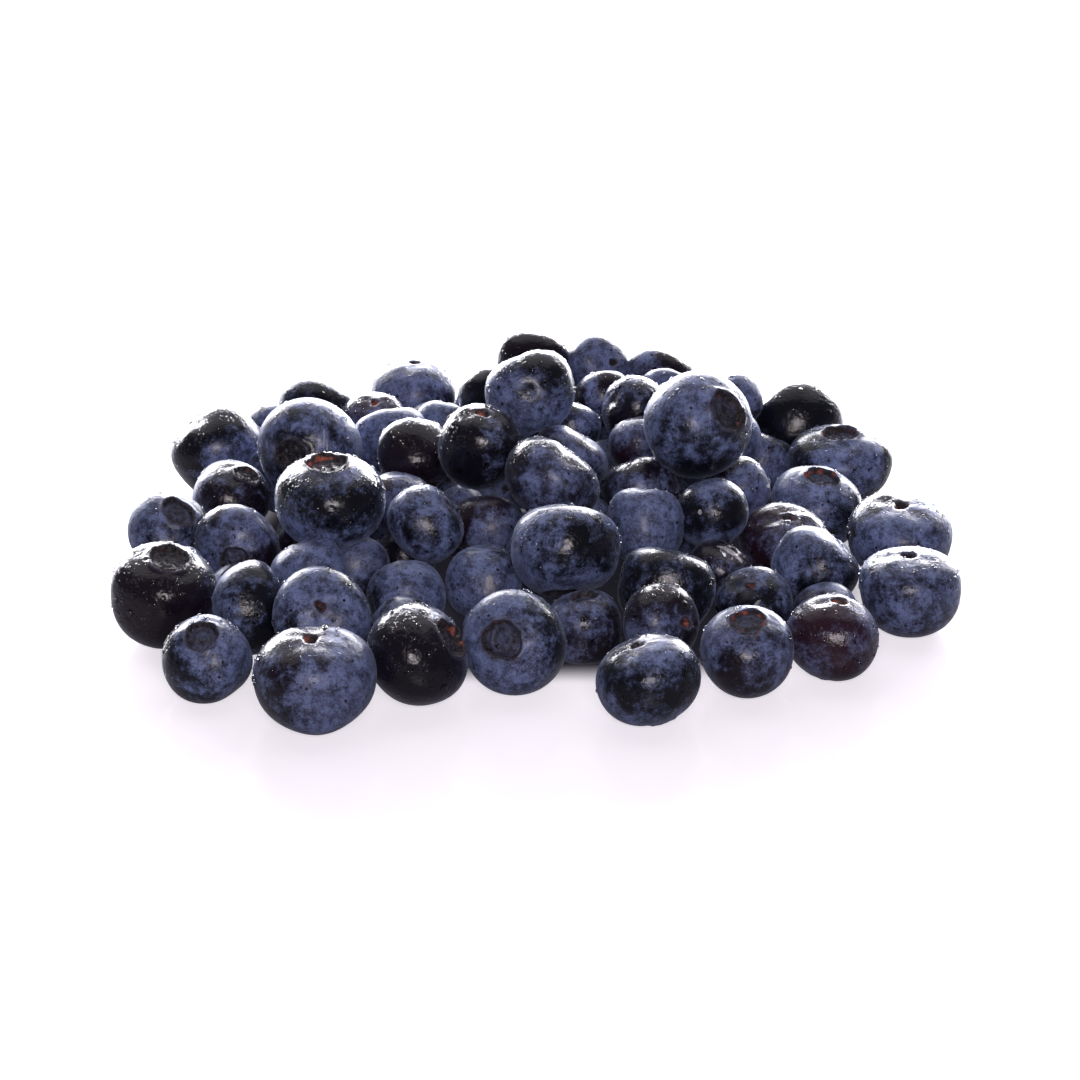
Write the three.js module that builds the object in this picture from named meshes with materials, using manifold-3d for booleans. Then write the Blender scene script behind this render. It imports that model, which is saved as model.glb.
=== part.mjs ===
// A loose heap of fresh blueberries on a table, in millimetres, +Z up, resting on z = 0.
// The heap is one solid: a low core with the berries fused on at their true size.

import * as THREE from 'three';
import { mergeVertices } from 'three/addons/utils/BufferGeometryUtils.js';
import Module from 'manifold-3d';

const wasm = await Module();
wasm.setup();

// The view in which the berries were placed: a picture 1080 pixels square, seen from
// 25 degrees above the table, 750 mm from a point 10 mm over the middle of the heap.
const PICTURE_MIDDLE = 540;
const FOCUS = 4462;
const AWAY = 750;
const PITCH = THREE.MathUtils.degToRad(25);
const AIM = new THREE.Vector3(0, 0, 10);

// How berries lie: neighbours dent each other by SINK, and the table dents them by FLAT.
const SINK = 0.5;
const FLAT = 0.25;

// Settling: a step pulls a berry by TUG, eases out an overlap by EASE of its depth, and brings
// a berry that shows back to its line of sight by HOME of the way. SIDE is how much of a push
// across that line counts.
const TUG = 0.03;
const EASE = 0.6;
const SIDE = 0.5;
const HOME = 0.12;

// The outline of the heap that hidden berries fill: its middle, its reach, its height, and how
// square it is seen from above, where 2 is an ellipse. A hidden berry's middle may lie over this
// dome by OVER_DOME. Hidden berries are laid on a grid as far as GRID_REACH from the middle, with
// rows that are GRID_ROW of a step apart.
const HEAP_MIDDLE = new THREE.Vector2(-1, 10);
const HEAP_REACH = new THREE.Vector2(60, 61);
const HEAP_SQUARENESS = 2.7;
const HEAP_HEIGHT = 34;
const OVER_DOME = 6;
const GRID_REACH = 75;
const GRID_ROW = 0.87;

// Berries in the solid: how many sides a large, a small and a hidden one has.
const SIDES = 12;
const SMALL_SIDES = 10;
const SMALL_WIDTH = 14.2;
const HIDDEN_SIDES = 8;

// The profile of a berry from its lower end to the end it shows, as shares of its half width
// and half height. A crown is a raised ring round a wide pit, and a scar is a small pit.
const BODY = [[0, -0.98], [0.62, -0.79], [0.97, -0.24], [0.93, 0.38]];
const ENDS = {
  plain: [[0.55, 0.84], [0, 1]],
  scar: [[0.6, 0.8], [0.24, 0.98], [0, 0.8]],
  crown: [[0.66, 0.76], [0.4, 0.99], [0.28, 0.8], [0, 0.76]],
};

// The core: a low mound inside the heap. Its edge lies inside the outermost berries by a share of
// their radius, looked for this far to each side, also as a share of the radius.
const CORE_HEIGHT = 19;
const CORE_EDGE = 3;
const CORE_INSET = 0.5;
const CORE_LOOK = 1.4;
const CORE_SIDES = 30;
const CORE_RINGS = 6;

// Hidden berries are in the solid where they show from behind: beyond this share of its reach.
const BACK_REACH = 0.55;

// Points closer together than this are one point.
const MERGE_DISTANCE = 1e-4;

// The berries that show. Each row gives the berry's middle in the picture (across, down), its
// width in mm, its height as a share of the width, the end it shows, where that end points
// (right, up, toward the viewer) and the height of its middle, or 0 for one on the table.
const SEEN = [
  [217, 450, 16.5, 0.88, 'plain', [-0.65, 0.7, 0.3], 0],
  [310, 448, 18, 0.85, 'crown', [-0.36, -0.19, 0.9], 19],
  [331, 502, 18.5, 0.8, 'crown', [-0.04, 0.88, 0.45], 18.5],
  [231, 499, 14, 0.85, 'crown', [0.49, 0.71, 0.5], 0],
  [238, 547, 14.5, 0.85, 'crown', [-0.05, -0.38, 0.9], 9],
  [168.5, 535, 14.5, 0.85, 'crown', [0.32, 0.62, 0.7], 0],
  [163.5, 597, 17, 0.92, 'crown', [0.16, 0.84, 0.5], 0],
  [207, 659, 14.5, 0.88, 'crown', [-0.08, 0.62, 0.78], 0],
  [249, 609, 15.5, 0.78, 'plain', [1, 0.15, -0.1], 0],
  [320, 618, 16, 0.85, 'scar', [0.06, 0.3, 0.95], 0],
  [314, 680.5, 19, 0.8, 'scar', [-0.05, 0.9, 0.42], 0],
  [416, 656, 17, 0.88, 'crown', [0.8, 0.4, 0.4], 0],
  [515.5, 642, 17, 0.85, 'crown', [-0.3, 0.07, 0.95], 0],
  [583, 627, 13, 0.9, 'crown', [0, 0.92, 0.35], 0],
  [647.5, 679.5, 17, 0.82, 'scar', [-0.3, 0.87, 0.39], 0],
  [658.5, 624, 13, 0.88, 'scar', [0.78, 0.06, 0.6], 0],
  [664.5, 590, 16, 0.85, 'plain', [0.25, 0.97, -0.1], 0],
  [566, 549, 18.5, 0.8, 'plain', [0.1, 1, -0.2], 17],
  [484, 582, 13.5, 0.9, 'plain', [0.35, 0.85, 0.3], 0],
  [407, 597, 13.5, 0.9, 'plain', [-0.3, 0.9, -0.2], 0],
  [425, 524, 13.5, 0.85, 'scar', [0.75, 0.6, 0.25], 18],
  [309, 575, 12.5, 0.9, 'plain', [-0.4, 0.8, 0.2], 0],
  [352, 568, 12, 0.9, 'plain', [0.2, 0.9, -0.2], 0],
  [400, 503, 12.5, 0.88, 'plain', [0.3, 0.9, 0], 15],
  [489, 527, 12, 0.9, 'plain', [0.2, 0.9, -0.2], 14],
  [551, 480, 16.5, 0.75, 'plain', [0.55, 0.8, 0.1], 25],
  [479, 447, 14, 1.05, 'scar', [0.1, 0.8, 0.55], 25],
  [415, 453, 13, 0.95, 'plain', [-0.3, 0.9, -0.2], 22],
  [566, 463, 14, 0.82, 'plain', [0.45, 0.85, 0], 21],
  [531, 393, 15.5, 0.93, 'plain', [-0.3, 0.95, 0], 30],
  [533, 364, 12.5, 0.9, 'plain', [0.2, 0.9, -0.2], 22],
  [595, 368, 11.5, 0.92, 'scar', [0.6, 0.15, 0.78], 20],
  [659, 380, 12.5, 0.85, 'plain', [0.2, 0.9, -0.2], 19],
  [603, 398, 10.5, 0.88, 'plain', [-0.2, 0.9, -0.1], 21],
  [633, 409, 12, 0.9, 'scar', [-0.8, 0.35, 0.5], 22],
  [695, 425, 18, 0.9, 'crown', [0.65, 0.28, 0.7], 28],
  [731, 402, 11.5, 0.9, 'plain', [-0.4, 0.9, 0.1], 18],
  [798, 425, 16, 0.9, 'plain', [-0.5, 0.75, -0.4], 0],
  [840, 466, 18, 0.7, 'crown', [0, 0.9, 0.4], 0],
  [817, 507, 16, 0.8, 'crown', [0.1, 0.8, 0.55], 0],
  [898, 537, 18, 0.72, 'scar', [0.05, 0.87, 0.48], 0],
  [909.5, 592, 16.5, 0.84, 'scar', [-0.05, 0.9, 0.4], 0],
  [815, 569, 14.5, 0.85, 'plain', [0.55, 0.8, 0.1], 0],
  [833, 637, 15.5, 0.88, 'scar', [0.15, 0.9, 0.4], 0],
  [747, 654, 15.5, 0.9, 'crown', [0, 0.76, 0.65], 0],
  [755, 604, 12.5, 0.85, 'scar', [-0.2, 0.6, 0.75], 0],
  [718, 572, 11, 0.9, 'scar', [0.5, 0.75, 0.3], 0],
  [784, 543, 15, 0.8, 'scar', [0.1, 0.75, 0.6], 0],
  [710.5, 513, 12, 0.95, 'plain', [-0.2, 0.95, -0.2], 17],
  [645, 527, 13, 1, 'plain', [0.1, 1, -0.1], 13],
  [640, 492, 13, 0.88, 'plain', [-0.3, 0.9, 0], 17],
  [640, 446, 11, 0.95, 'plain', [-0.3, 0.9, 0], 23],
  [740, 488, 10.5, 0.95, 'plain', [-0.3, 0.5, 0.6], 14],
  [733, 440, 10, 0.95, 'plain', [-0.3, 0.9, 0], 17],
  [572, 428, 10, 0.9, 'plain', [0.3, 0.9, 0], 23],
  [493, 398, 12.5, 0.9, 'plain', [-0.3, 0.9, 0], 22],
  [415, 398, 16, 0.86, 'scar', [0, 0.95, 0.3], 0],
  [316, 412, 14, 0.85, 'plain', [0.2, 0.9, -0.1], 0],
  [275, 430, 10, 0.9, 'plain', [0.2, 0.9, -0.1], 0],
  [374, 425, 12, 0.88, 'scar', [0.05, 0.75, 0.65], 12],
  [393, 443, 13, 0.92, 'plain', [-0.3, 0.9, -0.2], 15],
  [443, 428, 10.5, 0.9, 'plain', [0.3, 0.9, -0.2], 17],
  [668, 396, 10, 0.9, 'plain', [0.3, 0.9, -0.2], 20],
];

// The hidden berries, laid in passes from the table up: the height of a pass, its grid, the room
// that a berry needs, the narrowest width and the spread above it, and how much of the berry
// the ones that show must cover. After some passes the heap settles for a number of steps, in
// which the berries that show give way by a share.
const PASSES = [
  { height: 0, grid: 4.2, room: 0.9, narrow: 12, spread: 3, cover: 0.75 },
  { height: 0, grid: 3.2, room: 0.88, narrow: 10, spread: 1.5, cover: 0.85, steps: 150, give: 0.6 },
  { height: 8, grid: 4.2, room: 0.86, narrow: 12, spread: 3, cover: 0.75 },
  { height: 8, grid: 3.2, room: 0.86, narrow: 10, spread: 1.5, cover: 0.85, steps: 150, give: 0.4 },
  { height: 17, grid: 4.2, room: 0.86, narrow: 11, spread: 2, cover: 0.75, steps: 200, give: 0.4 },
];
const FIRST_STEPS = 200;
const COVER_POINTS = 24;
const GOLDEN_ANGLE = 2.399963;
const COVER_RADIUS = 0.95;
const COVER_GAP = 2;

// Irrational steps that spread a hidden berry's width, height, lean and turn evenly, with its
// lowest height as a share of its width and the spread above it, and how upright it stands.
const SPREAD_STEPS = [0.5698402910, 0.8191725134, 0.6180339887, 0.7548776662];
const HIDDEN_HIGH = 0.82;
const HIDDEN_HIGH_SPREAD = 0.12;
const LEAST_UPRIGHT = 0.5;

const ahead = new THREE.Vector3(0, Math.cos(PITCH), -Math.sin(PITCH));
const right = new THREE.Vector3(1, 0, 0);
const above = new THREE.Vector3(0, Math.sin(PITCH), Math.cos(PITCH));
const eye = AIM.clone().addScaledVector(ahead, -AWAY);

function lineOfSight(across, down) {
  return ahead.clone()
    .addScaledVector(right, (across - PICTURE_MIDDLE) / FOCUS)
    .addScaledVector(above, (PICTURE_MIDDLE - down) / FOCUS)
    .normalize();
}

function towardViewer([toRight, up, toward]) {
  return new THREE.Vector3()
    .addScaledVector(right, toRight)
    .addScaledVector(above, up)
    .addScaledVector(ahead, -toward)
    .normalize();
}

// Half the height of a tilted berry, which is a flattened ball.
function halfHeight({ a, b, axis }) {
  return Math.sqrt(a * a * (1 - axis.z ** 2) + b * b * axis.z ** 2);
}

function inPicture(point) {
  const arm = point.clone().sub(eye);
  const depth = arm.dot(ahead);
  return { across: FOCUS * arm.dot(right) / depth, up: FOCUS * arm.dot(above) / depth, depth };
}

function placeSeen([across, down, wide, high, end, points, lift]) {
  const a = wide / 2;
  const sides = wide > SMALL_WIDTH ? SIDES : SMALL_SIDES;
  const berry = { a, b: a * high, axis: towardViewer(points), end, sides };
  berry.sight = lineOfSight(across, down);
  berry.tug = lift > 0 ? berry.sight : new THREE.Vector3();
  const height = lift > 0 ? lift : halfHeight(berry) - FLAT;
  berry.at = eye.clone().addScaledVector(berry.sight, (height - eye.z) / berry.sight.z);
  return berry;
}

// How far berry p reaches in direction e.
function reach(p, e) {
  const c = e.dot(p.axis) ** 2;
  return 1 / Math.sqrt((1 - c) / (p.a * p.a) + c / (p.b * p.b));
}

function settle(berries, steps, give) {
  for (let step = 0; step < steps; step += 1) {
    for (const p of berries) {
      p.free = p.sight ? give : 1;
      p.at.addScaledVector(p.tug, TUG * p.free);
      p.push = new THREE.Vector3();
    }
    for (let i = 0; i < berries.length; i += 1) {
      for (let j = i + 1; j < berries.length; j += 1) {
        const p = berries[i];
        const q = berries[j];
        const e = q.at.clone().sub(p.at);
        const gap = e.length();
        if (gap > p.a + q.a + p.a) {
          continue;
        }
        e.divideScalar(gap);
        const deep = reach(p, e) + reach(q, e) - SINK - gap;
        if (deep > 0) {
          p.push.addScaledVector(e, -deep * EASE * p.free / (p.free + q.free));
          q.push.addScaledVector(e, deep * EASE * q.free / (p.free + q.free));
        }
      }
    }
    for (const p of berries) {
      if (p.sight) {
        const along = p.sight.clone().multiplyScalar(p.push.dot(p.sight));
        p.push.sub(along).multiplyScalar(SIDE).add(along);
      }
      p.at.add(p.push);
      if (p.sight) {
        const arm = p.at.clone().sub(eye);
        const astray = arm.clone().addScaledVector(p.sight, -arm.dot(p.sight));
        p.at.addScaledVector(astray, -HOME);
      }
      p.at.z = Math.max(p.at.z, halfHeight(p) - FLAT);
    }
  }
}

// The share of a round patch at a point that nearer berries which show cover in the picture.
function covered(point, radius, seen) {
  let count = 0;
  for (let k = 0; k < COVER_POINTS; k += 1) {
    const angle = k * GOLDEN_ANGLE;
    const out = Math.sqrt((k + 0.5) / COVER_POINTS) * COVER_RADIUS * radius;
    const spot = inPicture(point.clone()
      .addScaledVector(right, out * Math.cos(angle))
      .addScaledVector(above, out * Math.sin(angle)));
    const hit = seen.some((p) => {
      const disc = inPicture(p.at);
      const size = COVER_RADIUS * p.a * FOCUS / disc.depth;
      const far = (spot.across - disc.across) ** 2 + (spot.up - disc.up) ** 2;
      return far < size * size && disc.depth < spot.depth - COVER_GAP;
    });
    count += hit ? 1 : 0;
  }
  return count / COVER_POINTS;
}

// Values between 0 and 1 that differ from berry to berry in an even way.
function shares(number) {
  return SPREAD_STEPS.map((step) => (0.5 + (number + 1) * step) % 1);
}

function hiddenBerry(number, pass) {
  const [width, height, tilt, turn] = shares(number);
  const a = (pass.narrow + pass.spread * width) / 2;
  const b = a * (HIDDEN_HIGH + HIDDEN_HIGH_SPREAD * height);
  const upright = LEAST_UPRIGHT + (1 - LEAST_UPRIGHT) * tilt;
  const lean = Math.sqrt(1 - upright * upright);
  const angle = 2 * Math.PI * turn;
  const axis = new THREE.Vector3(lean * Math.cos(angle), lean * Math.sin(angle), upright);
  return { a, b, axis, end: 'plain', sides: HIDDEN_SIDES, tug: new THREE.Vector3(0, 0, -1) };
}

// Where a place lies between the middle of the heap, at 0, and its edge, at 1.
function outward({ x, y }) {
  const across = Math.abs(x - HEAP_MIDDLE.x) / HEAP_REACH.x;
  const along = Math.abs(y - HEAP_MIDDLE.y) / HEAP_REACH.y;
  return (across ** HEAP_SQUARENESS + along ** HEAP_SQUARENESS) ** (1 / HEAP_SQUARENESS);
}

// Lays one pass of hidden berries on its grid, wherever there is room under those that show.
function fill(berries, seen, pass, firstNumber) {
  const half = Math.floor(GRID_REACH / pass.grid);
  let number = firstNumber;
  for (let j = -half; j <= half; j += 1) {
    for (let i = -half; i <= half; i += 1) {
      number += 1;
      const berry = hiddenBerry(number, pass);
      const odd = Math.abs(j % 2);
      const x = HEAP_MIDDLE.x + (i + odd / 2) * pass.grid;
      const y = HEAP_MIDDLE.y + j * pass.grid * GRID_ROW;
      const z = halfHeight(berry) - FLAT + pass.height;
      const rho = outward({ x, y });
      if (rho > 1 || z > HEAP_HEIGHT * Math.sqrt(1 - rho * rho) + OVER_DOME) {
        continue;
      }
      berry.at = new THREE.Vector3(x, y, z);
      const crowded = berries.some((p) => p.at.distanceTo(berry.at) < (p.a + berry.a) * pass.room);
      if (!crowded && covered(berry.at, berry.a, seen) >= pass.cover) {
        berries.push(berry);
      }
    }
  }
  return number;
}

function layHeap() {
  const seen = SEEN.map(placeSeen);
  const berries = [...seen];
  settle(berries, FIRST_STEPS, 1);
  let number = 0;
  for (const pass of PASSES) {
    number = fill(berries, seen, pass, number);
    if (pass.steps) {
      settle(berries, pass.steps, pass.give);
    }
  }
  return berries;
}

// The middle of the heap's box, seen from above. It becomes x = 0, y = 0.
function planMiddle(berries) {
  return ['x', 'y'].map((side) => {
    const reaches = berries.map((p) => Math.sqrt(
      p.a * p.a * (1 - p.axis[side] ** 2) + p.b * p.b * p.axis[side] ** 2));
    const low = Math.min(...berries.map((p, k) => p.at[side] - reaches[k]));
    const high = Math.max(...berries.map((p, k) => p.at[side] + reaches[k]));
    return (low + high) / 2;
  });
}

// A closed geometry as a solid that can be joined and cut.
function solid(geometry) {
  const bare = geometry.clone();
  bare.deleteAttribute('normal');
  bare.deleteAttribute('uv');
  const merged = mergeVertices(bare, MERGE_DISTANCE);
  const corners = merged.index.array;
  const faces = [];
  for (let k = 0; k < corners.length; k += 3) {
    const [p, q, r] = corners.slice(k, k + 3);
    if (p !== q && q !== r && r !== p) {
      faces.push(p, q, r);
    }
  }
  return new wasm.Manifold(new wasm.Mesh({
    numProp: 3,
    vertProperties: new Float32Array(merged.attributes.position.array),
    triVerts: new Uint32Array(faces),
  }));
}

// A berry's flat sides touch its true round surface from outside.
function berrySolid(berry) {
  const growth = 1 / Math.cos(Math.PI / berry.sides);
  const profile = [...BODY, ...ENDS[berry.end]].map(([out, up]) => new THREE.Vector2(
    out * berry.a * growth, up * berry.b * growth));
  const geometry = new THREE.LatheGeometry(profile, berry.sides);
  const up = new THREE.Vector3(0, 1, 0);
  const turn = new THREE.Quaternion().setFromUnitVectors(up, berry.axis);
  geometry.applyQuaternion(turn);
  geometry.translate(...berry.at.toArray());
  return solid(geometry);
}

// How far the core reaches from the middle of the heap in a direction.
function coreReach(angle, berries) {
  const way = new THREE.Vector3(Math.cos(angle), Math.sin(angle), 0);
  const across = new THREE.Vector3(-way.y, way.x, 0);
  const middle = new THREE.Vector3(HEAP_MIDDLE.x, HEAP_MIDDLE.y, 0);
  const edges = berries.map((p) => {
    const arm = p.at.clone().sub(middle);
    const beside = Math.abs(arm.dot(across)) < CORE_LOOK * p.a;
    return beside ? arm.dot(way) - CORE_INSET * p.a : 0;
  });
  return Math.max(...edges);
}

// The core's profile is a bell that ends in a low upright edge. It is turned round the middle of
// the heap, and each of its sides is then drawn out to the berries.
function coreSolid(berries) {
  const profile = [new THREE.Vector2(0, 0), new THREE.Vector2(1, 0)];
  for (let ring = CORE_RINGS; ring >= 0; ring -= 1) {
    const out = ring / CORE_RINGS;
    const rise = (CORE_HEIGHT - CORE_EDGE) * (1 - out * out) ** 2;
    profile.push(new THREE.Vector2(out, CORE_EDGE + rise));
  }
  const geometry = new THREE.LatheGeometry(profile, CORE_SIDES);
  geometry.rotateX(Math.PI / 2);
  const { position } = geometry.attributes;
  for (let side = 0; side <= CORE_SIDES; side += 1) {
    const first = side * profile.length;
    const angle = Math.atan2(position.getY(first + 1), position.getX(first + 1));
    const reach = coreReach(angle, berries);
    for (let k = first; k < first + profile.length; k += 1) {
      position.setXY(k, position.getX(k) * reach, position.getY(k) * reach);
    }
  }
  geometry.translate(HEAP_MIDDLE.x, HEAP_MIDDLE.y, 0);
  return solid(geometry);
}

// Everything below the table is cut away, which leaves each lowest berry a small flat spot.
function belowTable() {
  const slab = new THREE.BoxGeometry(4 * GRID_REACH, 4 * GRID_REACH, GRID_REACH);
  slab.translate(0, 0, -GRID_REACH / 2);
  return solid(slab);
}

// The whole heap as one body: its largest, so a scrap or a hollow that joining sealed drops out.
function heapMesh() {
  const berries = layHeap();
  const fromBehind = (p) => p.at.y > HEAP_MIDDLE.y && outward(p.at) > BACK_REACH;
  let whole = coreSolid(berries);
  for (const berry of berries.filter((p) => p.sight || fromBehind(p))) {
    whole = whole.add(berrySolid(berry));
  }
  whole = whole.subtract(belowTable());
  const [largest] = whole.decompose().sort((p, q) => q.volume() - p.volume());
  const { vertProperties, triVerts } = largest.getMesh();
  const geometry = new THREE.BufferGeometry();
  geometry.setAttribute('position', new THREE.BufferAttribute(vertProperties, 3));
  geometry.setIndex(new THREE.BufferAttribute(triVerts, 1));
  const [x, y] = planMiddle(berries);
  geometry.translate(-x, -y, 0);
  geometry.computeVertexNormals();
  const skin = new THREE.MeshStandardMaterial({ color: 0x2b3149, roughness: 0.45, metalness: 0 });
  const mesh = new THREE.Mesh(geometry, skin);
  mesh.name = 'blueberry_heap';
  return mesh;
}

const heap = new THREE.Group();
heap.add(heapMesh());

export default heap;
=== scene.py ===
# %% [markdown]
# # A heap of blueberries
# About a hundred ripe blueberries lie in a low, loose heap on a white table. They are wet from
# washing: small drops sit on the wax bloom, and the light comes from behind, so each berry has a
# bright upper edge over a dark front. This lesson builds the heap berry by berry with numpy,
# lays a waxy skin over it with shader node groups, and adds the drops and the light.
#
# The first cell loads the imported model. It is one rough solid with the heap's true outline, and
# every piece made below lies inside its box.

# %% The imported model
import math

import bpy
import numpy as np
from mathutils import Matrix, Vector


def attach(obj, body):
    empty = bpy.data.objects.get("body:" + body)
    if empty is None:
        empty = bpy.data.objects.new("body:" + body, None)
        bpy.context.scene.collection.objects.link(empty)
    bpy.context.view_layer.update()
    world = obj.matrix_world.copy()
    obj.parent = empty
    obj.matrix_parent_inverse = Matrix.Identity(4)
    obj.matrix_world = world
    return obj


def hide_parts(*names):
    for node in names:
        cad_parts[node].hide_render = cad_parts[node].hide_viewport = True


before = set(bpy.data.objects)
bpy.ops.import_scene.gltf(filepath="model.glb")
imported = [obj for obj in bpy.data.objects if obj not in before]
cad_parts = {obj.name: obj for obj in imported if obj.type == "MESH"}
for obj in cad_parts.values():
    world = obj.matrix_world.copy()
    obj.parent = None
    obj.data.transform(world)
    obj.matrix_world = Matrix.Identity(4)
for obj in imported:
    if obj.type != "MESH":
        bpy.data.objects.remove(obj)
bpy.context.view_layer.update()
NODE = "blueberry_heap"
BODY = "root"
MM = 0.001

# %% [markdown]
# ## Where the berries lie
# In the real heap each berry has its own place, size and lean. They could be dropped at random by
# a physics run, but then none of them would lie where it does in the photo. So each berry that
# shows is a row of values read from the photo: where its middle is, how wide it is in real
# millimetres, how flat it is and where the end that shows points. The view of the photo then
# turns these into places: a berry on the table lies where its line of sight meets the table, and
# one higher up lies on the same kind of line at the height given.

# %% The view of the photo, in millimetres and in pixels of its 1080 by 1080 frame
PICTURE = 1080
MIDDLE = PICTURE / 2
FOCUS = 4462.0
AWAY = 750.0
PITCH = math.radians(25)
AIM = np.array([0.0, 0.0, 10.0])

AHEAD = np.array([0.0, math.cos(PITCH), -math.sin(PITCH)])
RIGHT = np.array([1.0, 0.0, 0.0])
ABOVE = np.array([0.0, math.sin(PITCH), math.cos(PITCH)])
EYE = AIM - AHEAD * AWAY


def unit(v):
    """Each vector divided by its length."""
    return v / np.linalg.norm(v, axis=-1, keepdims=True)


def line_of_sight(across, down):
    """The direction ahead, plus right and above by the pixel's offset from the middle over the focus."""
    across = np.asarray(across, float)[..., None]
    down = np.asarray(down, float)[..., None]
    return unit(AHEAD + RIGHT * (across - MIDDLE) / FOCUS + ABOVE * (MIDDLE - down) / FOCUS)


def in_picture(points):
    """Pixels right and up of the middle, and the depth: focus times offset over depth."""
    arm = points - EYE
    depth = arm @ AHEAD
    return FOCUS * (arm @ RIGHT) / depth, FOCUS * (arm @ ABOVE) / depth, depth


print("the camera stands at", np.round(EYE, 1), "mm")

# %% [markdown]
# ## The berries that show
# A row holds a berry's middle in the photo, its width in millimetres, its height as a share of
# its width, the end it shows, where that end points (right, up, toward the camera), the height of
# its middle (0 for a berry on the table), how much wax bloom is left on it, how wet it is, how
# red its skin is, and how rusty the bare flesh at its end is. The crown is the ring of small leaf
# tips left from the flower, and the scar is the hole where the stem was.

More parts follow.
